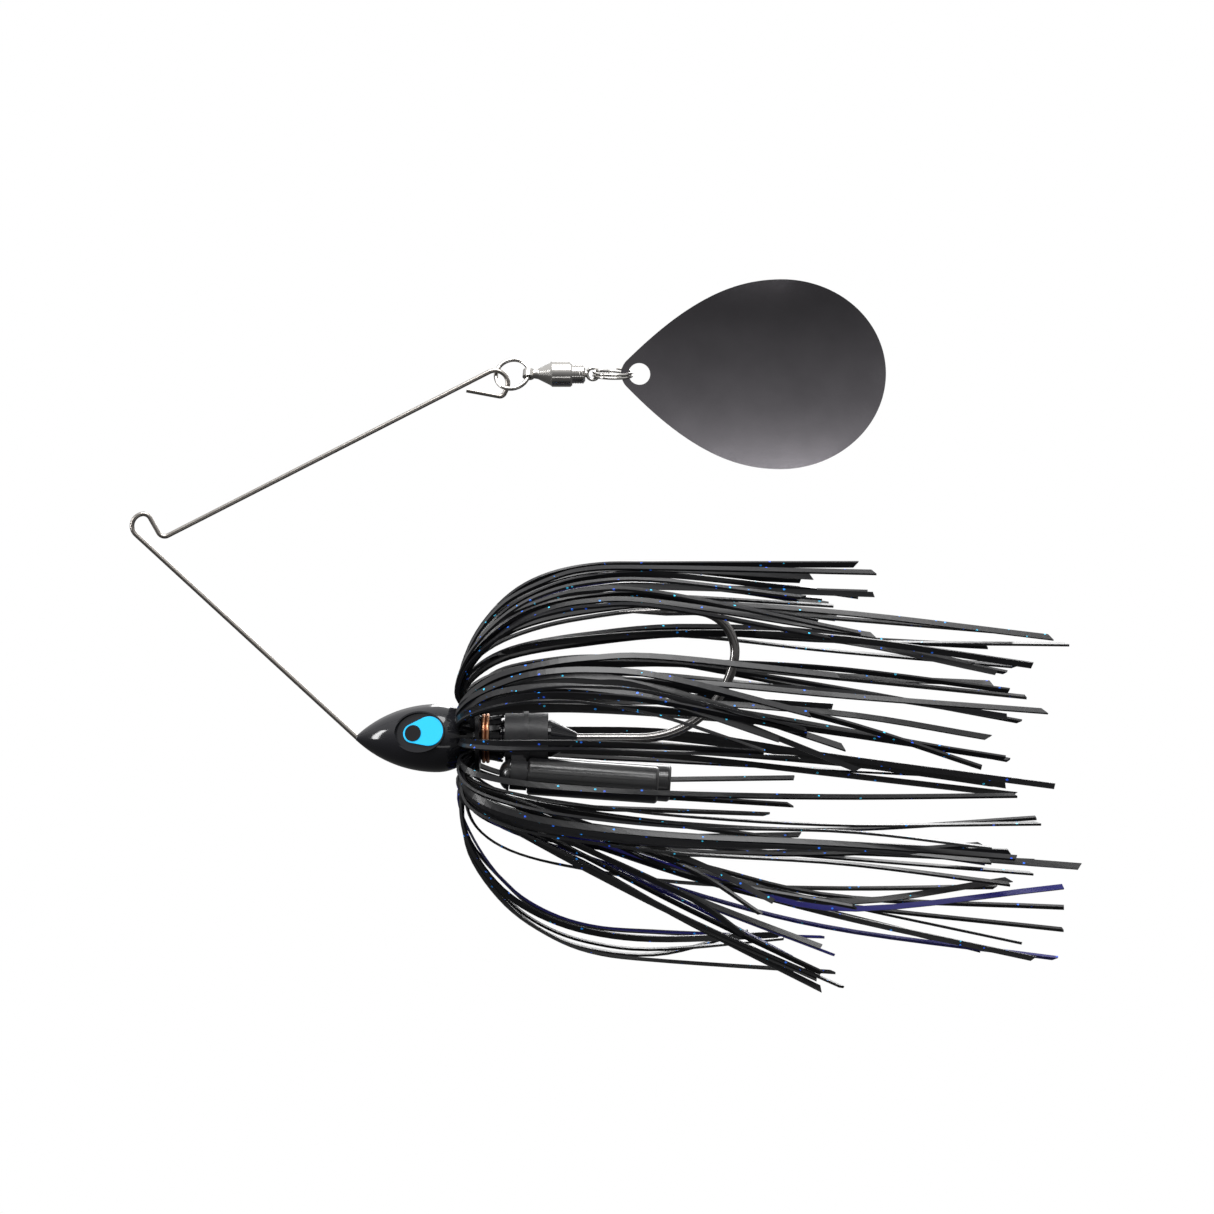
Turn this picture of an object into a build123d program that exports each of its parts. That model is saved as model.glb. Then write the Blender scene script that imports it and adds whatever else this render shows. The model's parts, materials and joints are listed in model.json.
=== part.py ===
from build123d import *
import math
import os

# Spinnerbait, millimetres. The origin is the line tie, the centre of the bend in the wire.
# +X runs to the tail, +Z up, +Y away from the side that shows the hook point to the right.
# The wire frame, hook and blade hang lie in or near the plane Y = 0.

# ---- driving dimensions -------------------------------------------------------------
WIRE_R = 0.40                  # stainless arm wire, 0.8 mm
TIE_R = 2.05                   # line tie bend, centreline
TIE_TOP_R = 1.35               # tighter where the bend turns down
TIE_TURNS = (125, 73)          # turn of the two parts of the bend, degrees
TIE_FALL = 2.9                 # straight from the bend down to the upper arm's corner
CORNER_R = 1.2                 # corner of the upper arm, and where the wire enters the head
LOWER_ANGLE = 42.57            # slope of the lower arm
LOWER_ARM = 50.9               # line tie to nose
UPPER_ANGLE = 27.0             # slope of the upper arm
UPPER_ARM = 61.3               # corner to the blade eye
EYE_R, EYE_TURN = 2.2, 142.5   # blade eye, round part
EYE_FLAT = 0.8                 # straight between the round part and the tail's corner
EYE_HEEL_R, EYE_HEEL_TURN = 0.9, 75
EYE_TAIL = 5.6                 # loose tail of the blade eye

HEAD_Z = -36.1                 # head, collar and shank axis
HEAD_X = 36.0                  # nose of the casting
HEAD_R = 5.8                   # fullest radius of the bullet
HEAD_FULL = 49.8               # where it is fullest
HEAD_BACK = 53.8               # back face of the bullet
HEAD_HEEL_R = 4.7              # its rim
NOSE_R, NOSE_DEEP = 0.5, 0.26  # blunt tip round the wire
COLLAR_R = 3.0                 # casting under the skirt
TAIL_R = 3.2                   # casting under the rattle harness
COLLAR_END, TAIL_X = 60.9, 61.2
CONE_X, CONE_END = 69.2, 73.6  # taper of the casting down to the shank
CONE_LIP = 0.15                # thickness left round the shank

EYE_X, EYE_Z = 46.95, 1.25     # middle of an eye socket: along X, and above the head axis
EYE_OUT = 4.98                 # its plane, out from the middle of the head
EYE_LEAN = (13, 12)            # turned towards the nose, and up, degrees
BOSS_DEEP = 1.2
SOCKET = (4.45, 3.55)          # half width and height of the boss
SOCKET_RIM = 0.25
POCKET_DEEP = 0.5
EGG_THICK, PUPIL_THICK = 0.34, 0.10
EGG_SMALL = (-1.75, -0.30, 1.60)   # small end of the blue egg: along, up, radius
EGG_LARGE = (1.10, 0.0, 2.50)
EYE_SHIFT = 0.55                   # the egg sits behind the middle of the socket
PUPIL_R = 1.4

SHANK_R = 0.80                 # hook wire
SHANK_END = 84.3               # where the shank meets the bend
BEND_1, BEND_1_TURN = 16.3, 80
BEND_2 = 7.0
HOOK_TURN = 181                # shank to point
POINT_LEN = 12.6               # throat to point
POINT_TAPER = 8.0
POINT_R = 0.06                 # flat left on the point
HOOK_EYE_X, HOOK_EYE_R, HOOK_EYE_WIRE = 43.2, 1.5, 0.55

SKIRT_X = 56.4                 # where the bundles of strands leave the root
ROOT_X = (55.0, 57.1, 60.4)    # root: front, back of its flange, back of its band
FLANGE_R = (4.1, 5.9)          # flange, inside its front and outside
BAND_THICK = 0.6
LOCKS = 16                     # bundles of strands
LOCK_R = 0.85
LOCK_RING = 5.2                # the bundles leave the root on this radius
LONG_TIP, LONG_SPREAD = 150, (14, 5)    # inner bundles: tip, radius on top, more below
SHORT_TIP, SHORT_SPREAD = 105, (29, 8)  # outer bundles

TIE_WIRE_R = 0.32
TIE_WIRE_X = (57.75, 58.45)

SLEEVE_X = (61.4, 68.7)        # rattle harness on the casting's tail
SLEEVE_R = 4.25
RIB_X, RIB_HIGH = (64.6, 65.4), 0.35
HOLDER_R = 2.45                # ring of the harness round a rattle's neck
WEB, WEB_AT = (2.6, 3.4), (2.0, 4.4)   # web to that ring: width, height; out and down
RATTLE_R = 3.15
RATTLE_Y = 3.35                # each side of the middle
RATTLE_DROP = 6.3              # below the shank at the neck
RATTLE_TILT = 4.0              # tail down
RATTLE_NECK_X, NECK_LEN = 62.2, 3.1
RATTLE_NECK_R = 1.65
DOME_LEN, DOME_R = 1.7, 2.7    # nose in front of the neck
RATTLE_END = 24.3              # open end of the tube, from the neck's front
PLUG_DEEP, PLUG_OUT = 1.3, 0.9
RATTLE_FAR_SHIFT = 2.2
RATTLE_WALL = 0.65
SHOT_R, SHOTS = 2.2, 3
SHOT_TRAVEL = 5.5              # free run; the shot lies at the tail end

RING_AT = Vector(62.6, 0.15, 25.8)  # front ring
RING_R = 2.85
RING_WIRE = 0.37
RING_LEAN = (-0.20, 0.52)          # its plane is Y = a*X + b*Z about its middle

LUG_R, LUG_THICK, LUG_BORE = 1.0, 1.3, 0.50
NOSE_X, CONE_FRONT, BARREL_X = 66.2, 67.0, (69.1, 72.8)
NECK_R = (0.75, 0.9, 1.95)     # swivel nose, front of its cone, back of its cone
BARREL_R, BARREL_EDGE = 2.2, 0.3
SEAT_X, SEAT_R = 69.8, 1.70    # chamber in the barrel
CAP_X = (71.46, 72.82, 75.0)   # cap: inner end, shoulder, outer end
CAP_R, CAP_PLUG_R = 1.63, 1.66
CAP_EDGE = (0.3, 0.45)
GROOVE_X, GROOVE_PITCH, GROOVES, GROOVE_R = 73.15, 0.42, 4, 0.09
BALL_R = 0.30
BALL_RING = 1.05
BALLS = 8
SPINDLE_R = 0.55
FLANGE_X, SPINDLE_FLANGE_R = (70.15, 70.82), 1.45
END_EYE_X = 76.3
END_EYE = (0.99, 0.28)

SPLIT_X = (76.46, 82.92)       # centreline of the split ring, front and back
SPLIT_WIRE = 0.25
SPLIT_PITCH = 0.54
SPLIT_TILT = 12
SPLIT_LEAN = 2.4               # brings both ends of the coil to the middle height

BLADE_X = 81.1                 # front tip of the blade
BLADE_LEN = 44.9
BLADE_HALF = 16.15
BLADE_WIDE_X = 27.2            # from the tip to the widest place
BLADE_FLANK = (13.6, 12.4)     # a point on the flank: from the tip, and half width there
BLADE_THICK = 0.45
BLADE_DISH = 56.0              # inside radius of the cup
HOLE_FROM_TIP = 3.1
HOLE_R = 1.85


# ---- helpers ------------------------------------------------------------------------
def turtle(start, heading, moves):
    """A path in the XZ plane: (length,) goes straight, (radius, turn) bends."""
    at, parts = Vector(*start), []
    for move in moves:
        way = Vector(math.cos(math.radians(heading)), math.sin(math.radians(heading)))
        if len(move) == 1:
            step = Line(at, at + way * move[0])
        else:
            step = JernArc(start=at, tangent=way, radius=move[0], arc_size=move[1])
            heading += move[1]
        parts.append(step)
        at = step @ 1
    return Plane.XZ * Wire([edge for step in parts for edge in step.edges()])


def tube(path, radius):
    return sweep(Plane(path @ 0, z_dir=path % 0) * Circle(radius), path=path)


def bent_tube(points, radii, radius):
    return tube(FilletPolyline(*points, radius=radii), radius)


def turned(profile, z, y=0.0):
    """A closed (x, r) outline, turned about an axis along X at height z."""
    face = make_face(Plane.XZ * profile)
    return Pos(0, y, z) * revolve(face, Axis.X)


def along_x(x0, x1, radius, y=0.0, z=0.0):
    return Pos((x0 + x1) / 2, y, z) * Rot(0, 90, 0) * Cylinder(radius, x1 - x0)


# ---- wire frame ---------------------------------------------------------------------
def wire_frame():
    """One wire: cast-in end, lower arm, line tie, upper arm, blade eye, tail."""
    slope = math.radians(LOWER_ANGLE)
    way = Vector(math.cos(slope), -math.sin(slope))
    nose = Vector(-math.sin(slope), -math.cos(slope)) * TIE_R + way * LOWER_ARM
    cast_x = nose.X + CORNER_R * math.sin(slope)
    cast_z = nose.Y - CORNER_R * (1 - math.cos(slope))
    end_leg, end_bend, cast_run = 0.9, 0.8, 1.9
    fall = sum(TIE_TURNS) - (180 - LOWER_ANGLE)
    path = turtle(
        (cast_x + cast_run + end_bend, cast_z + end_bend + end_leg),
        -90,
        [
            (end_leg,),
            (end_bend, -90),
            (cast_run,),
            (CORNER_R, -LOWER_ANGLE),
            (LOWER_ARM,),
            (TIE_R, -TIE_TURNS[0]),
            (TIE_TOP_R, -TIE_TURNS[1]),
            (TIE_FALL,),
            (CORNER_R, fall + UPPER_ANGLE),
            (UPPER_ARM,),
            (EYE_R, -EYE_TURN),
            (EYE_FLAT,),
            (EYE_HEEL_R, -EYE_HEEL_TURN),
            (EYE_TAIL,),
        ],
    )
    return tube(path, WIRE_R)


# ---- hook ---------------------------------------------------------------------------
def hook():
    """Closed eye in the casting, straight shank, round bend and a ground point."""
    shank_x = HOOK_EYE_X + HOOK_EYE_R - 0.1
    shank = turtle(
        (shank_x, HEAD_Z),
        0,
        [
            (SHANK_END - shank_x,),
            (BEND_1, BEND_1_TURN),
            (BEND_2, HOOK_TURN - BEND_1_TURN),
            (POINT_LEN - POINT_TAPER,),
        ],
    )
    body = tube(shank, SHANK_R)
    end, way = shank @ 1, shank % 1
    cone = Plane(end, z_dir=way) * Cone(
        SHANK_R, POINT_R, POINT_TAPER, align=(Align.CENTER, Align.CENTER, Align.MIN)
    )
    eye = Pos(HOOK_EYE_X, 0, HEAD_Z) * Rot(90, 0, 0) * Torus(HOOK_EYE_R, HOOK_EYE_WIRE)
    return body + cone + eye


# ---- head ---------------------------------------------------------------------------
def eye_plane(side):
    """The plane of an eye boss, normal outwards; side is -1 near, +1 far."""
    lean_x, lean_z = (math.radians(a) for a in EYE_LEAN)
    normal = Vector(-math.sin(lean_x), side * math.cos(lean_x), math.sin(lean_z))
    along = Vector(1, 0, 0) - normal * (normal.X / normal.dot(normal))
    centre = Vector(EYE_X, side * EYE_OUT, HEAD_Z + EYE_Z)
    return Plane(centre, x_dir=along, z_dir=normal)


def head_profile():
    """Half outline of the bullet, collar, tail and cone, as (x, r)."""
    full, heel = (HEAD_FULL, HEAD_R), (HEAD_BACK, HEAD_HEEL_R)
    front, shoulder = HEAD_X + 0.2 - NOSE_DEEP, (HEAD_X + 0.2, NOSE_R)
    tip = ThreePointArc((front, 0), (front + 0.23 * NOSE_DEEP, 0.64 * NOSE_R), shoulder)
    ogive = TangentArc(full, shoulder, tangent=(-1, 0))
    back = TangentArc(full, heel, tangent=(1, 0))
    rest = Polyline(
        heel,
        (HEAD_BACK, COLLAR_R),
        (COLLAR_END, COLLAR_R),
        (TAIL_X, TAIL_R),
        (CONE_X, TAIL_R),
        (CONE_END, SHANK_R + CONE_LIP),
        (CONE_END, 0),
        (front, 0),
    )
    return tip + ogive + back + rest


def head_casting(wire, hook_solid):
    """Bullet head with two eye bosses, the skirt collar and the tail, cast on wire and hook."""
    head = turned(head_profile(), HEAD_Z)
    for side in (-1, 1):
        at = eye_plane(side)
        boss = at * extrude(Ellipse(*SOCKET), -BOSS_DEEP)
        opening = Ellipse(SOCKET[0] - SOCKET_RIM, SOCKET[1] - SOCKET_RIM)
        pocket = at * Pos(0, 0, -POCKET_DEEP) * extrude(opening, POCKET_DEEP + 1.5)
        head = head + boss - pocket
    return head - wire - hook_solid


def egg(side):
    """Two circles and the tangent lines round them, large end towards the tail."""
    up = -side
    (xs, zs, rs), (xl, zl, rl) = EGG_SMALL, EGG_LARGE
    zs, zl = up * zs, up * zl
    along = math.degrees(math.atan2(zl - zs, xl - xs))
    spread = 90 + math.degrees(math.asin((rl - rs) / math.hypot(xl - xs, zl - zs)))

    def rim(x, z, r, degrees):
        return (x + r * math.cos(math.radians(degrees)), z + r * math.sin(math.radians(degrees)))

    high, low = along + spread, along - spread
    small = ThreePointArc(rim(xs, zs, rs, high), rim(xs, zs, rs, along + 180), rim(xs, zs, rs, low))
    large = ThreePointArc(rim(xl, zl, rl, low), rim(xl, zl, rl, along), rim(xl, zl, rl, high))
    sides = [Line(small @ 1, large @ 0), Line(large @ 1, small @ 0)]
    return make_face(Wire([e for part in (small, large, *sides) for e in part.edges()]))


def eye_inlay(side):
    """The blue egg, on the floor of the socket."""
    floor = eye_plane(side) * Pos(EYE_SHIFT, -0.1 * side, 0.02 - POCKET_DEEP)
    return floor * extrude(egg(side), EGG_THICK, dir=(0, 0, 1))


def eye_pupil(side):
    x, z, _ = EGG_SMALL
    height = 0.04 + EGG_THICK - POCKET_DEEP
    top = eye_plane(side) * Pos(EYE_SHIFT + x + 0.12, -side * (z + 0.1), height)
    return top * extrude(Circle(PUPIL_R), PUPIL_THICK)


# ---- skirt --------------------------------------------------------------------------
def skirt_root():
    """The gathered butts of the strands under the tie wire, with a fold flange in front."""
    front, flange, end = ROOT_X
    inside, band = COLLAR_R + 0.02, COLLAR_R + BAND_THICK
    outline = Polyline(
        (front, inside),
        (end, inside),
        (end, band),
        (flange, band),
        (flange, FLANGE_R[1]),
        (SKIRT_X, FLANGE_R[1] + 0.2),
        (SKIRT_X, FLANGE_R[0]),
        (front, FLANGE_R[0] - 0.1),
        close=True,
    )
    return turned(outline, HEAD_Z)


def skirt_tie_wire():
    ring = Rot(0, 90, 0) * Torus(COLLAR_R + BAND_THICK + 0.02 + TIE_WIRE_R, TIE_WIRE_R)
    return Compound([Pos(x, 0, HEAD_Z) * ring for x in TIE_WIRE_X])


def lock_route(index):
    """Points (x, r) of one bundle: forward out of the root, out, then back and down."""
    angle = math.radians((index + 0.5) * 360 / LOCKS)
    low = (1 - math.cos(angle)) / 2
    start = [(SKIRT_X, LOCK_RING), (ROOT_X[0], LOCK_RING)]
    if index % 2:
        spread = LONG_SPREAD[0] + LONG_SPREAD[1] * low
        rest = [(55.3, 12 + 2 * low), (72, spread + 3), (108, spread + 4), (LONG_TIP, spread)]
    else:
        spread = SHORT_SPREAD[0] + SHORT_SPREAD[1] * low
        rest = [(54.4, 14), (61, spread - 5), (76, spread + 1), (SHORT_TIP, spread)]
    return angle, start + rest


def skirt_lock(index):
    angle, route = lock_route(index)
    points = [
        Vector(x, r * math.sin(angle), HEAD_Z + r * math.cos(angle)) for x, r in route
    ]
    radii = [1.2]
    for before, here, after in zip(points[1:], points[2:], points[3:]):
        run_in, run_out = here - before, after - here
        turn = math.radians(run_in.get_angle(run_out))
        radii.append(0.42 * min(run_in.length, run_out.length) / math.tan(turn / 2))
    return bent_tube(points, radii, LOCK_R)


# ---- rattles ------------------------------------------------------------------------
def rattle_place(side):
    """Where a rattle stands; side is -1 near, +1 far. Its own axis is X from its neck's front."""
    shift = RATTLE_FAR_SHIFT if side > 0 else 0.0
    at = Vector(RATTLE_NECK_X + shift, side * RATTLE_Y, HEAD_Z - RATTLE_DROP + 0.2)
    return Location(at, (0, RATTLE_TILT, 0))


def rattle_tube(side, grow=0.0):
    """Domed nose, waisted neck and a hollow body, open at the tail."""
    radius, front, back = RATTLE_R + grow, -DOME_LEN - grow, NECK_LEN - grow
    nose = ThreePointArc(
        (front, 0), (front + 0.32 * DOME_LEN, 0.74 * DOME_R), (grow, DOME_R + grow)
    )
    outline = Polyline(
        (grow, DOME_R + grow),
        (grow, RATTLE_NECK_R + grow),
        (back, RATTLE_NECK_R + grow),
        (back, radius - 0.3),
        (back + 0.3, radius),
        (RATTLE_END, radius),
        (RATTLE_END, 0),
        (front, 0),
    )
    solid = revolve(make_face(Plane.XZ * (nose + outline)), Axis.X)
    if not grow:
        solid = solid - along_x(NECK_LEN + RATTLE_WALL, RATTLE_END, RATTLE_R - RATTLE_WALL)
    return rattle_place(side) * solid


def rattle_plug(side):
    """Pressed end plug with a rounded rim."""
    seat = RATTLE_END + 0.01
    plug = along_x(RATTLE_END - PLUG_DEEP, seat, RATTLE_R - RATTLE_WALL - 0.01)
    rim = along_x(seat, RATTLE_END + PLUG_OUT, RATTLE_R)
    rim = fillet(rim.edges().group_by(Axis.X)[-1], PLUG_OUT - 0.3)
    return rattle_place(side) * (plug + rim)


def rattle_shot(side):
    first = NECK_LEN + RATTLE_WALL + SHOT_R + 0.1 + SHOT_TRAVEL
    pitch = 2 * SHOT_R + 0.06
    balls = [Pos(first + pitch * n, 0, 0) * Sphere(SHOT_R) for n in range(SHOTS)]
    return Compound([rattle_place(side) * ball for ball in balls])


def rattle_harness():
    """Rubber sleeve on the casting's tail with a web and a ring round each rattle's neck."""
    body = along_x(*SLEEVE_X, SLEEVE_R, z=HEAD_Z)
    body = body + along_x(*RIB_X, SLEEVE_R + RIB_HIGH, z=HEAD_Z)
    for side in (-1, 1):
        ring = rattle_place(side) * along_x(0.12, NECK_LEN - 0.12, HOLDER_R)
        shift = RATTLE_FAR_SHIFT if side > 0 else 0.0
        middle = RATTLE_NECK_X + shift + NECK_LEN / 2
        web = Pos(middle, side * WEB_AT[0], HEAD_Z - WEB_AT[1]) * Box(NECK_LEN - 0.6, *WEB)
        body = body + ring + web
    for side in (-1, 1):
        body = body - rattle_tube(side, grow=0.04)
    return body - along_x(SLEEVE_X[0] - 1, SLEEVE_X[1] + 1, TAIL_R + 0.02, z=HEAD_Z)


# ---- blade hang ---------------------------------------------------------------------
def ring_frame():
    """The front ring's middle, its way to the lug and its normal."""
    a, b = RING_LEAN
    out = Vector(1, a, 0).normalized()
    normal = Vector(a, -1, b).normalized()
    return RING_AT, out, normal


def front_ring():
    centre, out, normal = ring_frame()
    return Plane(centre, x_dir=out, z_dir=normal) * Torus(RING_R, RING_WIRE)


def lug_point():
    centre, out, _ = ring_frame()
    return centre + out * RING_R


def swivel_shell():
    """Nose lug, cone and hollow barrel."""
    at = lug_point()
    _, out, normal = ring_frame()
    lug_axis = normal.cross(out)
    front, back = BARREL_X
    outline = Polyline(
        (NOSE_X, 0),
        (NOSE_X, NECK_R[0]),
        (CONE_FRONT, NECK_R[1]),
        (front, NECK_R[2]),
        (front + BARREL_EDGE, BARREL_R),
        (back - BARREL_EDGE, BARREL_R),
        (back, BARREL_R - 0.25),
        (back, SEAT_R),
        (SEAT_X, SEAT_R),
        (SEAT_X, 0),
        close=True,
    )
    body = turned(outline, at.Z, at.Y)
    frame = Plane(at, x_dir=(1, 0, 0), z_dir=lug_axis)
    return body + frame * Cylinder(LUG_R, LUG_THICK) - frame * Cylinder(LUG_BORE, 2 * LUG_THICK)


def swivel_cap():
    """Threaded end cap: plug in the barrel, collar outside, bore for the spindle."""
    at = lug_point()
    inner, shoulder, outer = CAP_X
    bore = SPINDLE_R + 0.06
    outline = Polyline(
        (inner, bore),
        (inner, CAP_PLUG_R),
        (shoulder, CAP_PLUG_R),
        (shoulder, CAP_R),
        (outer - CAP_EDGE[0], CAP_R),
        (outer, CAP_R - CAP_EDGE[1]),
        (outer, bore),
        close=True,
    )
    cap = turned(outline, at.Z, at.Y)
    groove = Rot(0, 90, 0) * Torus(CAP_R + 0.02, GROOVE_R)
    for n in range(GROOVES):
        cap = cap - Pos(GROOVE_X + GROOVE_PITCH * n, at.Y, at.Z) * groove
    return cap


def swivel_spindle():
    """Flange, shaft and end eye of the turning half."""
    at = lug_point()
    flange = along_x(*FLANGE_X, SPINDLE_FLANGE_R, at.Y, at.Z)
    shaft = along_x(FLANGE_X[0] + 0.3, END_EYE_X - END_EYE[0], SPINDLE_R, at.Y, at.Z)
    eye = Pos(END_EYE_X, at.Y, at.Z) * Rot(90, 0, 0) * Torus(*END_EYE)
    return flange + shaft + eye


def bearing_balls():
    at = lug_point()
    x = FLANGE_X[1] + 0.02 + BALL_R
    balls = []
    for n in range(BALLS):
        a = 2 * math.pi * n / BALLS
        y, z = BALL_RING * math.cos(a), BALL_RING * math.sin(a)
        balls.append(Pos(x, at.Y + y, at.Z + z) * Sphere(BALL_R))
    return Compound(balls)


def split_ring():
    """Two turns of round wire, closed up flat."""
    at = lug_point()
    radius = (SPLIT_X[1] - SPLIT_X[0]) / 2
    coil = Helix(pitch=SPLIT_PITCH, height=2 * SPLIT_PITCH * 0.985, radius=radius)
    coil = Pos(0, 0, -SPLIT_PITCH) * coil
    wire = sweep(Plane(coil @ 0, z_dir=coil % 0) * Circle(SPLIT_WIRE), path=coil, is_frenet=True)
    middle = (SPLIT_X[0] + SPLIT_X[1]) / 2
    return Pos(middle, at.Y, at.Z) * Rot(SPLIT_TILT, SPLIT_LEAN, 0) * Rot(0, 0, 90) * wire


def blade_outline():
    """Half outlines of the teardrop, upper then lower, in X and height."""
    hole_x = BLADE_X + HOLE_FROM_TIP
    wide_x = BLADE_X + BLADE_WIDE_X
    reach = BLADE_LEN - BLADE_WIDE_X
    c = math.cos(math.radians(45)) * HOLE_FROM_TIP
    edges = []
    for s in (1, -1):
        tip = ThreePointArc(
            (BLADE_X, 0),
            (
                hole_x - HOLE_FROM_TIP * math.cos(math.radians(22.5)),
                s * HOLE_FROM_TIP * math.sin(math.radians(22.5)),
            ),
            (hole_x - c, s * c),
        )
        flank = Spline(
            (hole_x - c, s * c),
            (BLADE_X + BLADE_FLANK[0], s * BLADE_FLANK[1]),
            (wide_x, s * BLADE_HALF),
            tangents=((1, s), (1, 0)),
        )
        belly = EllipticalCenterArc(
            (wide_x, 0), reach, BLADE_HALF, start_angle=0 if s > 0 else 270, arc_size=90
        )
        edges += [tip, flank, belly]
    return [edge for part in edges for edge in part.edges()]


def blade():
    """A cupped teardrop: a slice of a spherical shell, hollow towards the near side."""
    at = lug_point()
    face = make_face(Plane.XZ * Wire(blade_outline()))
    middle_x = BLADE_X + BLADE_LEN / 2
    hole_x = BLADE_X + HOLE_FROM_TIP
    slab = extrude(face, 20, both=True)
    rise = math.sqrt(BLADE_DISH**2 - (middle_x - hole_x) ** 2)
    centre = Pos(middle_x, -rise, 0)
    shell = centre * (Sphere(BLADE_DISH + BLADE_THICK) - Sphere(BLADE_DISH))
    cup = slab & shell
    hole = Pos(hole_x, 0, 0) * Rot(90, 0, 0) * Cylinder(HOLE_R, BLADE_HALF)
    return Pos(0, at.Y - BLADE_THICK / 2, at.Z) * (cup - hole)


# ---- the set ------------------------------------------------------------------------
def all_parts():
    wire, hook_solid = wire_frame(), hook()
    parts = {
        "wire_frame": wire,
        "hook": hook_solid,
        "head_casting": head_casting(wire, hook_solid),
        "skirt_root": skirt_root(),
        "skirt_tie_wire": skirt_tie_wire(),
        "rattle_harness": rattle_harness(),
        "front_ring": front_ring(),
        "swivel_shell": swivel_shell(),
        "swivel_cap": swivel_cap(),
        "swivel_spindle": swivel_spindle(),
        "bearing_balls": bearing_balls(),
        "split_ring": split_ring(),
        "blade": blade(),
    }
    for side, word in ((-1, "near"), (1, "far")):
        parts[f"eye_inlay_{word}"] = eye_inlay(side)
        parts[f"eye_pupil_{word}"] = eye_pupil(side)
        parts[f"rattle_tube_{word}"] = rattle_tube(side)
        parts[f"rattle_plug_{word}"] = rattle_plug(side)
        parts[f"rattle_shot_{word}"] = rattle_shot(side)
    for index in range(LOCKS):
        parts[f"skirt_lock_{index + 1:02d}"] = skirt_lock(index)
    return parts


def main():
    os.makedirs("parts", exist_ok=True)
    for name, shape in all_parts().items():
        export_step(shape, f"parts/{name}.step")


main()
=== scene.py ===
import json
import math
import random

import bpy
from mathutils import Matrix, Vector


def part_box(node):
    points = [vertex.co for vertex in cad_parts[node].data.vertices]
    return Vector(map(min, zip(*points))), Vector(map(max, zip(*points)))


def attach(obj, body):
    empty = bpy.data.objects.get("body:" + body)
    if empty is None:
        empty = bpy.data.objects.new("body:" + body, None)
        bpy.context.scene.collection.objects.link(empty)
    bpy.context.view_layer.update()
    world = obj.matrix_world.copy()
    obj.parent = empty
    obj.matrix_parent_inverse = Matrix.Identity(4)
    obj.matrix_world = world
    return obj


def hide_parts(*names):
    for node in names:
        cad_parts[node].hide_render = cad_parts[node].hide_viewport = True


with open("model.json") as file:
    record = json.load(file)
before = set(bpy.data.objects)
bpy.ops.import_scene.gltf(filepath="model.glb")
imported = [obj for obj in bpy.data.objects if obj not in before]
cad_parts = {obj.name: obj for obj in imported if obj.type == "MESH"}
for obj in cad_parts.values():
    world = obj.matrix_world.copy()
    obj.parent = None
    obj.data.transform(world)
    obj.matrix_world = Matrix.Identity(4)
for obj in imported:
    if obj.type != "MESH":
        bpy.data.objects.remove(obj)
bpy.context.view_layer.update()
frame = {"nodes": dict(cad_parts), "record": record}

MM = 0.001
NODES = frame["nodes"]
ROOT_LOW, ROOT_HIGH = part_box("skirt_root")
HOOK_LOW, HOOK_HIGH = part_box("hook")
AXIS_Z = (ROOT_LOW.z + ROOT_HIGH.z) / 2          # head, collar and shank axis
LOCKS = sorted(n for n in NODES if n.startswith("skirt_lock_"))


# ---- camera and light ---------------------------------------------------------------
VIEW_WIDTH = 0.2064                              # metres across the frame at the lure
VIEW_MIDDLE = Vector((0.0787, 0.0, -0.0138))
LENS, SENSOR = 120.0, 36.0                       # mm
LIT_MIDDLE = (0.075, 0, -0.02)                   # where every lamp points
# The room that reflections see: height from straight down (0) to straight up (1), and level.
ROOM_STOPS = ((0.0, 0.08), (0.34, 0.14), (0.50, 0.28), (0.62, 0.42), (0.78, 1.05), (1.0, 1.15))


def look_at(obj, target):
    obj.rotation_mode = "QUATERNION"
    obj.rotation_quaternion = (Vector(target) - obj.location).to_track_quat("-Z", "Y")


def make_camera():
    data = bpy.data.cameras.new("camera")
    data.lens = LENS
    data.sensor_width = SENSOR
    cam = bpy.data.objects.new("camera", data)
    bpy.context.scene.collection.objects.link(cam)
    cam.location = VIEW_MIDDLE - Vector((0, VIEW_WIDTH * LENS / SENSOR, 0))
    look_at(cam, VIEW_MIDDLE)
    bpy.context.scene.camera = cam


def area_light(name, place, size, watts):
    data = bpy.data.lights.new(name, "AREA")
    data.shape = "RECTANGLE"
    data.size, data.size_y = size
    data.energy = watts
    lamp = bpy.data.objects.new(name, data)
    bpy.context.scene.collection.objects.link(lamp)
    lamp.location = place
    look_at(lamp, LIT_MIDDLE)


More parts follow.
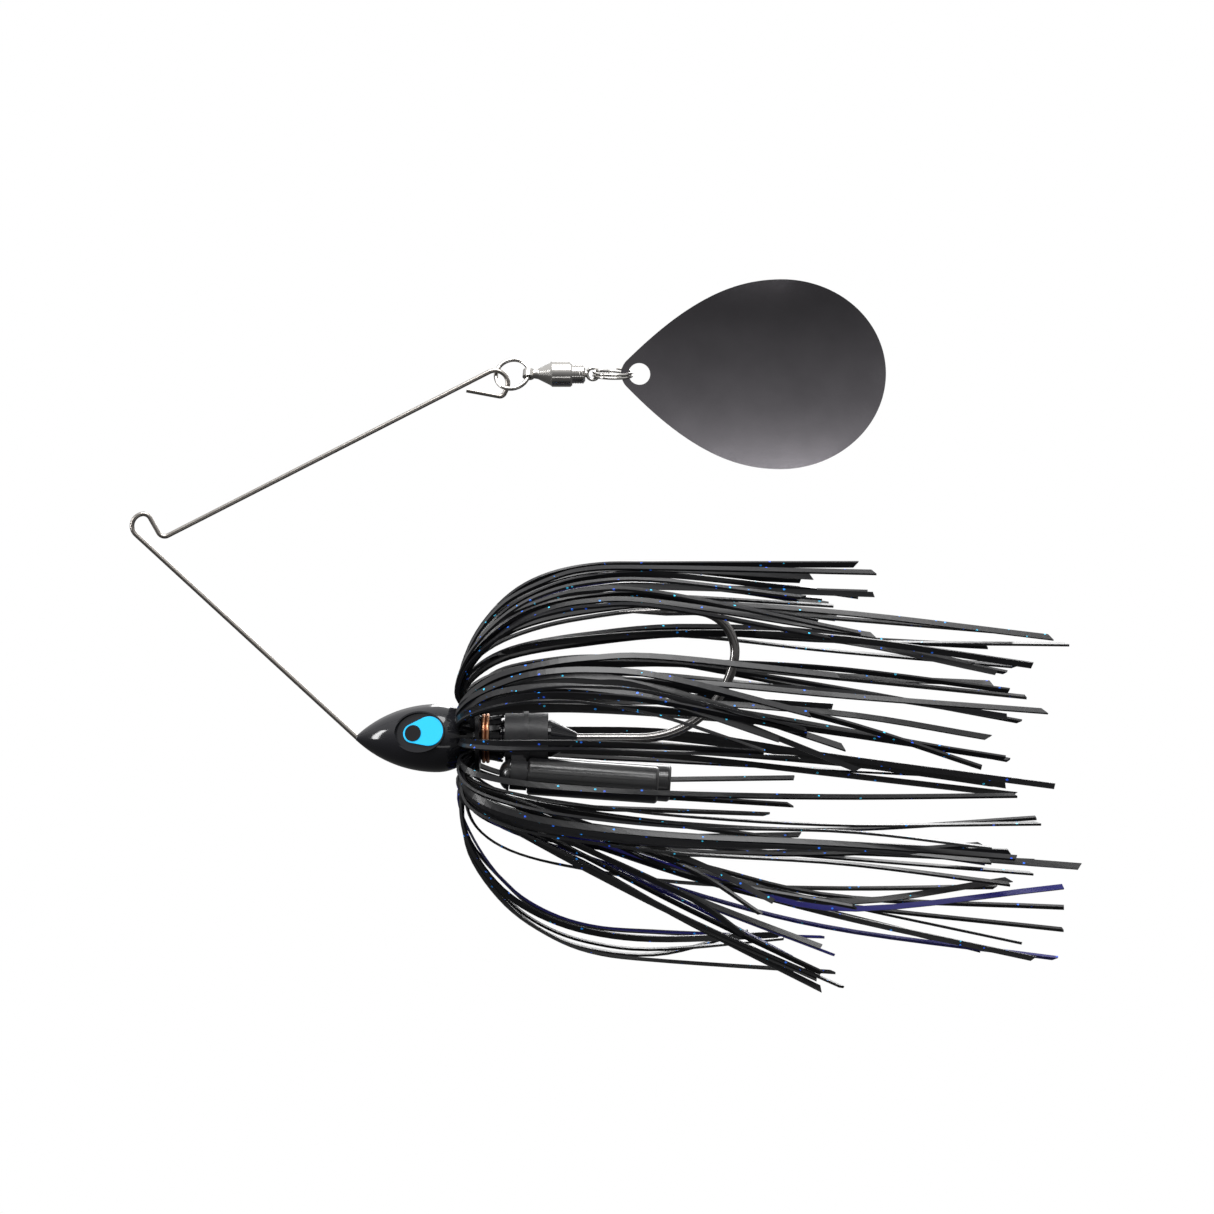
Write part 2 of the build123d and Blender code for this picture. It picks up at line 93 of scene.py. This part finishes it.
def make_world():
    """White to the camera. Reflections see a room that is dark below and bright above."""
    world = bpy.data.worlds.new("studio")
    world.use_nodes = True
    bpy.context.scene.world = world
    tree = world.node_tree
    tree.nodes.clear()
    new = tree.nodes.new
    white = new("ShaderNodeBackground")
    white.inputs["Color"].default_value = (1, 1, 1, 1)
    white.inputs["Strength"].default_value = 1.0
    room = new("ShaderNodeBackground")
    room.inputs["Strength"].default_value = 1.0
    coord = new("ShaderNodeTexCoord")
    split = new("ShaderNodeSeparateXYZ")
    height = new("ShaderNodeMapRange")
    height.inputs["From Min"].default_value = -1
    levels = new("ShaderNodeValToRGB")
    bar = levels.color_ramp
    bar.elements.remove(bar.elements[1])
    for n, (at, level) in enumerate(ROOM_STOPS):
        stop = bar.elements[0] if n == 0 else bar.elements.new(at)
        stop.position = at
        stop.color = (level, level, level, 1)
    path = new("ShaderNodeLightPath")
    mix = new("ShaderNodeMixShader")
    out = new("ShaderNodeOutputWorld")
    link = tree.links.new
    link(coord.outputs["Generated"], split.inputs[0])
    link(split.outputs["Z"], height.inputs["Value"])
    link(height.outputs["Result"], levels.inputs["Fac"])
    link(levels.outputs["Color"], room.inputs["Color"])
    link(path.outputs["Is Camera Ray"], mix.inputs["Fac"])
    link(room.outputs[0], mix.inputs[1])
    link(white.outputs[0], mix.inputs[2])
    link(mix.outputs[0], out.inputs["Surface"])


def make_lights():
    area_light("key_top", (0.02, -0.22, 0.55), size=(0.45, 0.30), watts=4.2)
    area_light("front_soft", (0.06, -0.42, 0.42), size=(0.40, 0.08), watts=1.1)
    area_light("back_rim", (0.16, 0.50, 0.25), size=(0.30, 0.30), watts=2.0)
    area_light("side_left", (-0.50, -0.25, 0.12), size=(0.08, 0.40), watts=2.2)
    area_light("low_fill", (0.18, -0.45, -0.28), size=(0.35, 0.06), watts=0.12)
    bpy.context.scene.view_settings.view_transform = "Standard"


# ---- materials ----------------------------------------------------------------------
EYE_SHADE, EYE_GLOW = 0.45, 0.62                 # lit share and emitted share (a painted glow) of the eye's blue
FLAKE_CELL_MM, FLAKE_RADIUS = 0.62, 0.28         # one flake at most in a cell, radius in cells
BLUE_FLAKES = [(0.02, 0.10, 0.75), (0.02, 0.30, 0.95), (0.05, 0.62, 0.95), (0.02, 0.16, 0.85)]


def plain(name, colour, rough=0.4, metal=0.0, coat=0.0, coat_rough=0.05, ior=1.5):
    mat = bpy.data.materials.new(name)
    mat.use_nodes = True
    shader = mat.node_tree.nodes["Principled BSDF"]
    shader.inputs["Base Color"].default_value = (*colour, 1)
    shader.inputs["Roughness"].default_value = rough
    shader.inputs["Metallic"].default_value = metal
    shader.inputs["Coat Weight"].default_value = coat
    shader.inputs["Coat Roughness"].default_value = coat_rough
    shader.inputs["IOR"].default_value = ior
    mat.diffuse_color = (*colour, 1)
    return mat, shader


def node(mat, kind, **values):
    made = mat.node_tree.nodes.new(kind)
    for key, value in values.items():
        name = key.replace("_", " ").title()
        if name in made.inputs:
            made.inputs[name].default_value = value
        else:
            setattr(made, key, value)
    return made


def wire_up(mat, a, b):
    mat.node_tree.links.new(a, b)


def coords(mat, stretch=(1, 1, 1)):
    place = node(mat, "ShaderNodeTexCoord")
    shape = node(mat, "ShaderNodeMapping")
    shape.inputs["Scale"].default_value = stretch
    wire_up(mat, place.outputs["Object"], shape.inputs["Vector"])
    return shape.outputs["Vector"]


def noise(mat, size_mm, detail=3.0, stretch=(1, 1, 1)):
    grain = node(mat, "ShaderNodeTexNoise", scale=1000.0 / size_mm, detail=detail)
    wire_up(mat, coords(mat, stretch), grain.inputs["Vector"])
    return grain


def ramp(mat, source, stops):
    made = node(mat, "ShaderNodeValToRGB")
    bar = made.color_ramp
    while len(bar.elements) < len(stops):
        bar.elements.new(0.5)
    for stop, (at, colour) in zip(bar.elements, stops):
        stop.position = at
        stop.color = (*colour, 1)
    wire_up(mat, source, made.inputs["Fac"])
    return made.outputs["Color"]


def span(mat, source, low, high):
    made = node(mat, "ShaderNodeMapRange")
    made.inputs["To Min"].default_value = low
    made.inputs["To Max"].default_value = high
    wire_up(mat, source, made.inputs["Value"])
    return made.outputs["Result"]


def bump(mat, shader, source, height_mm, strength=0.6):
    made = node(mat, "ShaderNodeBump", strength=strength)
    made.inputs["Distance"].default_value = height_mm * MM
    wire_up(mat, source, made.inputs["Height"])
    wire_up(mat, made.outputs["Normal"], shader.inputs["Normal"])


def drawn_wire(name, colour, rough):
    """Metal with the faint marks of drawing and handling."""
    mat, shader = plain(name, colour, rough=rough, metal=1.0)
    grain = noise(mat, size_mm=1.6, stretch=(0.3, 1, 1))
    wire_up(mat, span(mat, grain.outputs["Fac"], rough * 0.7, rough * 1.5), shader.inputs["Roughness"])
    bump(mat, shader, grain.outputs["Fac"], height_mm=0.006, strength=0.15)
    return mat


def plated(name, colour, rough, dark):
    """Smooth plating with slight clouding in colour and gloss; dark is the clouds' share."""
    mat, shader = plain(name, colour, rough=rough, metal=1.0)
    cloud = noise(mat, size_mm=6.0, detail=4)
    fine = noise(mat, size_mm=0.35, detail=2)
    clouded = tuple(c * dark for c in colour)
    tones = ramp(mat, cloud.outputs["Fac"], ((0.35, clouded), (0.65, colour)))
    wire_up(mat, tones, shader.inputs["Base Color"])
    wire_up(mat, span(mat, fine.outputs["Fac"], rough * 0.75, rough * 1.35), shader.inputs["Roughness"])
    bump(mat, shader, fine.outputs["Fac"], height_mm=0.004, strength=0.25)
    return mat


def enamel(name, colour, rough=0.09, ripple_mm=0.02):
    """Gloss paint with a slight ripple."""
    mat, shader = plain(name, colour, rough=rough, ior=1.45)
    wave = noise(mat, size_mm=2.6, detail=1.5)
    bump(mat, shader, wave.outputs["Fac"], height_mm=ripple_mm, strength=0.5)
    return mat


def glowing_eye_paint(name, colour):
    """Flat bright enamel with a painted glow: part of its colour is emitted, so it looks even under the
    lamps.
    """
    mat, shader = plain(name, tuple(c * EYE_SHADE for c in colour), rough=0.45)
    # painted glow: the eye's blue is also emitted, so the eye shines though it is no lamp
    shader.inputs["Emission Color"].default_value = (*colour, 1)
    shader.inputs["Emission Strength"].default_value = EYE_GLOW
    fine = noise(mat, size_mm=0.6, detail=2)
    wire_up(mat, span(mat, fine.outputs["Fac"], 0.38, 0.5), shader.inputs["Roughness"])
    bump(mat, shader, fine.outputs["Fac"], height_mm=0.006, strength=0.3)
    return mat


def silicone(name, colour, flakes, share):
    """Soft rubber with metal flakes of the given colours in a share of the cells."""
    mat, shader = plain(name, colour, rough=0.30, ior=1.40)
    cells = node(mat, "ShaderNodeTexVoronoi", scale=1000.0 / FLAKE_CELL_MM)
    wire_up(mat, coords(mat, (0.8, 1, 1)), cells.inputs["Vector"])
    split = node(mat, "ShaderNodeSeparateColor")
    wire_up(mat, cells.outputs["Color"], split.inputs[0])
    chosen = node(mat, "ShaderNodeMath", operation="LESS_THAN")
    chosen.inputs[1].default_value = share
    wire_up(mat, split.outputs[0], chosen.inputs[0])
    near = node(mat, "ShaderNodeMath", operation="LESS_THAN")
    near.inputs[1].default_value = FLAKE_RADIUS
    wire_up(mat, cells.outputs["Distance"], near.inputs[0])
    both = node(mat, "ShaderNodeMath", operation="MULTIPLY")
    wire_up(mat, chosen.outputs[0], both.inputs[0])
    wire_up(mat, near.outputs[0], both.inputs[1])
    stops = [(n / len(flakes), c) for n, c in enumerate(flakes)]
    tint = ramp(mat, split.outputs[1], stops)
    tint.node.color_ramp.interpolation = "CONSTANT"
    mix = node(mat, "ShaderNodeMix", data_type="RGBA")
    wire_up(mat, both.outputs[0], mix.inputs["Factor"])
    mix.inputs[6].default_value = (*colour, 1)
    wire_up(mat, tint, mix.inputs[7])
    wire_up(mat, mix.outputs[2], shader.inputs["Base Color"])
    fine = noise(mat, size_mm=0.8, detail=2)
    bump(mat, shader, fine.outputs["Fac"], height_mm=0.03, strength=0.35)
    return mat


def moulded(name, colour, rough, grain_mm, height_mm, coat=0.0):
    """Rubber or plastic with a fine grain."""
    mat, shader = plain(name, colour, rough=rough, coat=coat, coat_rough=0.12)
    fine = noise(mat, size_mm=grain_mm, detail=3)
    wire_up(mat, span(mat, fine.outputs["Fac"], rough * 0.75, rough * 1.3), shader.inputs["Roughness"])
    bump(mat, shader, fine.outputs["Fac"], height_mm, strength=0.6)
    return mat


def make_materials():
    """Materials by slot name, and skirt_blue for the blue strands."""
    return {
        "stainless_wire": drawn_wire("stainless_wire", (0.30, 0.28, 0.26), rough=0.22),
        "hook_finish": plated("hook_black_nickel", (0.27, 0.26, 0.255), rough=0.14, dark=0.7),
        "head_paint": enamel("head_enamel", (0.010, 0.010, 0.012)),
        # the eye's blue carries a painted glow (emission), not only its paint colour
        "eye_blue": glowing_eye_paint("eye_enamel_glow", (0.0, 0.52, 0.94)),
        "eye_black": enamel("pupil_black", (0.003, 0.003, 0.004), rough=0.12, ripple_mm=0.002),
        "skirt_silicone": silicone("skirt_black", (0.006, 0.006, 0.007), BLUE_FLAKES, share=0.06),
        "skirt_blue": silicone("skirt_deep_blue", (0.013, 0.012, 0.13), BLUE_FLAKES, share=0.05),
        "copper_wire": drawn_wire("tie_copper", (0.72, 0.36, 0.20), rough=0.28),
        "harness_rubber": moulded(
            "harness_rubber", (0.022, 0.022, 0.024), rough=0.50, grain_mm=0.5, height_mm=0.03
        ),
        "rattle_shell": moulded(
            "rattle_shell", (0.012, 0.012, 0.013), rough=0.30, grain_mm=0.30, height_mm=0.05, coat=0.7
        ),
        "steel_balls": plated("ball_steel", (0.6, 0.6, 0.62), rough=0.15, dark=0.85),
        "bright_nickel": plated("bright_nickel", (0.58, 0.565, 0.54), rough=0.15, dark=0.82),
        "black_nickel": plated("blade_black_nickel", (0.20, 0.19, 0.205), rough=0.17, dark=0.90),
    }


def dress_nodes(mats):
    """Gives each CAD node the material of its slot."""
    for part in frame["record"]["subparts"]:
        obj = NODES[part["node"]]
        mat = mats[part["material_slot"]]
        if not obj.material_slots:
            obj.data.materials.append(mat)
        for slot in obj.material_slots:
            slot.material = mat


# ---- mesh helpers -------------------------------------------------------------------
def smooth_line(points, count):
    """Catmull-Rom samples through points."""
    ends = [points[0] * 2 - points[1], *points, points[-1] * 2 - points[-2]]
    out = []
    spans = len(points) - 1
    for n in range(count):
        f = n / (count - 1) * spans
        i = min(int(f), spans - 1)
        t = f - i
        a, b, c, d = ends[i : i + 4]
        square = a * 2 - b * 5 + c * 4 - d
        cube = b * 3 - a - c * 3 + d
        out.append(((b * 2) + (c - a) * t + square * t * t + cube * t**3) / 2)
    return out


def ribbon(verts, faces, line, across, width, thick, twist=0.0, slant=0.0):
    """Adds a flat strand along line; across is the way its width points at the start.

    It turns by twist radians on the way. At its far end one edge is slant mm further on and
    the other as much further back.
    """
    first = len(verts)
    side = across.copy()
    last = len(line) - 1
    for n, at in enumerate(line):
        ahead = (line[min(n + 1, last)] - line[max(n - 1, 0)]).normalized()
        side = (side - ahead * side.dot(ahead)).normalized()
        turned = Matrix.Rotation(twist * n / last, 3, ahead) @ side
        up = ahead.cross(turned)
        push = ahead * (slant * MM if n == last else 0.0)
        for s, u in ((-1, -1), (1, -1), (1, 1), (-1, 1)):
            verts.append(at + turned * (s * width / 2) + up * (u * thick / 2) + push * s)
    for n in range(last):
        a = first + 4 * n
        faces += [(a + k, a + (k + 1) % 4, a + 4 + (k + 1) % 4, a + 4 + k) for k in range(4)]
    end = first + 4 * last
    faces += [(first + 3, first + 2, first + 1, first), (end, end + 1, end + 2, end + 3)]


def mesh_object(name, verts, faces, mats, face_mats=None):
    mesh = bpy.data.meshes.new(name)
    mesh.from_pydata([tuple(v) for v in verts], [], faces)
    for mat in mats:
        mesh.materials.append(mat)
    if face_mats:
        mesh.polygons.foreach_set("material_index", face_mats)
    mesh.update()
    obj = bpy.data.objects.new(name, mesh)
    bpy.context.scene.collection.objects.link(obj)
    return obj


# ---- skirt --------------------------------------------------------------------------
STRAND_W, STRAND_T = 1.0 * MM, 0.42 * MM
STRAND_SAMPLES, BUTT_SAMPLES = 44, 14            # points along a strand, and along a butt
SKIRT_SEED, BUTT_SEED = 11, 5

# For each lock: middle angle in degrees from the top (near side positive), half spread,
# kind, bulge against the usual, droop of the tips in mm, and number of strands.
FANS = {
    1: (-10, 12, "long", 1.12, 1, 6),
    2: (-28, 12, "short", 1.00, 3, 6),
    3: (-46, 12, "long", 1.15, 4, 7),
    4: (-70, 13, "short", 0.95, 5, 5),
    5: (-93, 10, "long", 0.90, 5, 6),
    6: (-116, 12, "short", 0.90, 4, 5),
    7: (-138, 14, "long", 1.05, 3, 7),
    8: (-168, 13, "short", 0.97, 3, 6),
    9: (168, 14, "long_sweep", 1.22, 3, 8),
    10: (156, 17, "short_sweep", 1.03, 4, 11),
    11: (131, 12, "long", 0.85, 3, 7),
    12: (93, 4, "short", 0.55, 2, 2),
    13: (58, 7, "long", 0.90, 8, 6),
    14: (60, 10, "short", 0.70, 13, 8),
    15: (24, 9, "short", 0.98, 3, 7),
    16: (8, 10, "short", 1.02, 2, 7),
}
BLUE_LOW, BLUE_HIGH = 0.12, 0.03                 # share of blue strands below, and above
LOW_COS = -0.4                                   # a strand is below if its angle's cosine is less
# Sizes in mm and random spreads. bulge: radius on top, and how much more below. tip_x: X of
# the tip, less shorter_below at the bottom. The spread and tip_r are shares of the bulge.
LENGTHS = {
    "long": {
        "bulge": (19.0, 9.0), "spread": (0.72, 1.05), "tip_x": (140, 158), "shorter_below": 0,
        "tip_r": (0.7, 1.12),
    },
    "short": {
        "bulge": (30.5, 8.0), "spread": (0.82, 1.04), "tip_x": (104, 124), "shorter_below": 4,
        "tip_r": (0.86, 1.02),
    },
}
# Where a strand passes: X in mm, and radius as a share of its bulge. Most fold out at
# once and then run back; those that sweep leave the root on a slant.
RINGS = {
    "long": ((54.0, 0.42), (56.5, 0.66), (63, 0.84), (74, 0.96), (92, 1.04), (118, 1.0)),
    "short": ((53.7, 0.31), (55.7, 0.54), (60.7, 0.76), (67.5, 0.90), (76, 0.98), (88, 1.0)),
    "long_sweep": ((54.0, 0.26), (56.5, 0.36), (62.6, 0.47), (75.8, 0.62), (96, 0.82), (118, 0.95)),
    "short_sweep": ((54.0, 0.23), (56.5, 0.30), (62.6, 0.39), (75.8, 0.56), (92.8, 0.77)),
}
ROOT_RUN = (2.2, 0.6)                            # mm behind the root's front: tie, and fold
TIE_R, FOLD_R = 4.0, (4.4, 5.2)                  # mm from the axis at the tie, and at the fold
RING_JITTER = 0.6                                # mm along X
DRIFT = 0.10                                     # radians that a strand wanders round the axis
FALL_START, FALL_SPAN = 60, 60                   # X where a strand starts to droop, and mm on
FALL_MOST, FALL_SPREAD = 1.3, (0.3, 1.3)         # spans that the droop grows for, and its share
WAVE_HEIGHT, WAVE_LENGTH = (0.1, 0.7), 22        # mm up and down, and mm along X for a radian
WAVE_RISE = 3                                    # the wave is full after a third of a span
TWISTS = (0.0, 0.5, 1.2, 1.6)                    # radians from root to tip
WIDTH_SPREAD = (0.85, 1.12)
STRAND_SLANT, BUTT_SLANT = 0.6, 0.5              # most mm that an edge is off at a cut end
HOOK_ROOM, HOOK_MARGIN = 2.3 * MM, 2 * MM        # kept free beside the hook, and round it


def strand_points(rng, angle, kind, scale, droop):
    """Route of one strand: forward from the tie, folded out, then back and down."""
    size = LENGTHS[kind.removesuffix("_sweep")]
    on_top, more_below = size["bulge"]
    low = (1 - math.cos(angle)) / 2
    drift = rng.uniform(-DRIFT, DRIFT)
    bulge = (on_top + more_below * low) * scale * rng.uniform(*size["spread"])
    tip_x = rng.uniform(*size["tip_x"]) - size["shorter_below"] * low
    tip_r = bulge * rng.uniform(*size["tip_r"])
    root_x = ROOT_LOW.x / MM
    route = [(root_x + ROOT_RUN[0], TIE_R), (root_x + ROOT_RUN[1], rng.uniform(*FOLD_R))]
    route += [(x + rng.uniform(-RING_JITTER, RING_JITTER), bulge * r) for x, r in RINGS[kind]]
    route.append((tip_x, tip_r))
    fall = droop * rng.uniform(*FALL_SPREAD)
    wave, phase = rng.uniform(*WAVE_HEIGHT), rng.uniform(0, math.tau)
    points = []
    for x, r in route:
        share = max(0.0, (x - FALL_START) / FALL_SPAN)
        a = angle + drift * share
        y, z = -r * math.sin(a), r * math.cos(a) - fall * min(share, FALL_MOST) ** 2
        z += wave * math.sin(phase + x / WAVE_LENGTH) * min(share * WAVE_RISE, 1)
        points.append(Vector((x, y, z)))
    return points


def clear_of_hook(p):
    """Moves a point sideways out of the hook's plane."""
    along = ROOT_HIGH.x < p.x < HOOK_HIGH.x + HOOK_MARGIN
    level = HOOK_LOW.z - HOOK_MARGIN < p.z < HOOK_HIGH.z + HOOK_MARGIN
    if along and level and abs(p.y) < HOOK_ROOM:
        p.y = math.copysign(HOOK_ROOM, p.y)
    return p


def make_skirt(mats):
    """Bundles of strands in place of the CAD rods."""
    rng = random.Random(SKIRT_SEED)
    for index, node_name in enumerate(LOCKS):
        verts, faces, face_mats = [], [], []
        middle, spread, kind, scale, droop, count = FANS[index + 1]
        for n in range(count):
            part = (n + 0.5) / count * 2 - 1 + rng.uniform(-0.5, 0.5) / count
            angle = math.radians(middle + spread * part)
            route = strand_points(rng, angle, kind, scale, droop)
            points = [p * MM + Vector((0, 0, AXIS_Z)) for p in route]
            line = [clear_of_hook(p) for p in smooth_line(points, STRAND_SAMPLES)]
            across = Vector((0, math.cos(angle), math.sin(angle)))
            twist = rng.choice(TWISTS) * rng.choice((-1, 1))
            width = STRAND_W * rng.uniform(*WIDTH_SPREAD)
            slant = rng.uniform(-STRAND_SLANT, STRAND_SLANT)
            before = len(faces)
            ribbon(verts, faces, line, across, width, STRAND_T, twist, slant)
            blue = rng.random() < (BLUE_LOW if math.cos(angle) < LOW_COS else BLUE_HIGH)
            face_mats += [1 if blue else 0] * (len(faces) - before)
        name = node_name.replace("lock", "strands")
        both = [mats["skirt_silicone"], mats["skirt_blue"]]
        strands = mesh_object(name, verts, faces, both, face_mats)
        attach(strands, "root")
        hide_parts(node_name)


BUTT_LAYERS, BUTTS_EACH = (3.25, 3.5), 21        # radius of each layer in mm, and how many in it
BUTT_W = 0.95 * MM
BUTT_JITTER = 0.05                               # radians
# X in mm, and mm out from the layer's radius: a little inside it under the tie wire.
BUTT_ROUTE = ((56.2, 1.1), (57.2, 0), (58.2, -0.05), (59.3, 0.05))
BUTT_END_X = (60.2, 61.0)
BUTT_FLARE = (0.05, 0.45)                        # mm out at the cut end


def make_butts(mats):
    """The cut ends of the strands, gathered on the collar under the tie wire."""
    rng = random.Random(BUTT_SEED)
    verts, faces = [], []
    for layer, radius in enumerate(BUTT_LAYERS):
        for n in range(BUTTS_EACH):
            a = math.tau * (n + 0.5 * layer) / BUTTS_EACH + rng.uniform(-BUTT_JITTER, BUTT_JITTER)
            flare = rng.uniform(*BUTT_FLARE)
            route = [(x, radius + out) for x, out in BUTT_ROUTE]
            route.append((rng.uniform(*BUTT_END_X), radius + flare))
            points = [
                Vector((x * MM, -r * MM * math.sin(a), AXIS_Z + r * MM * math.cos(a))) for x, r in route
            ]
            across = Vector((0, math.cos(a), math.sin(a)))
            slant = rng.uniform(-BUTT_SLANT, BUTT_SLANT)
            ribbon(verts, faces, smooth_line(points, BUTT_SAMPLES), across, BUTT_W, STRAND_T, 0, slant)
    butts = mesh_object("skirt_butts", verts, faces, [mats["skirt_silicone"]])
    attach(butts, "root")


def build():
    make_camera()
    make_world()
    make_lights()
    mats = make_materials()
    dress_nodes(mats)
    make_skirt(mats)
    make_butts(mats)


build()
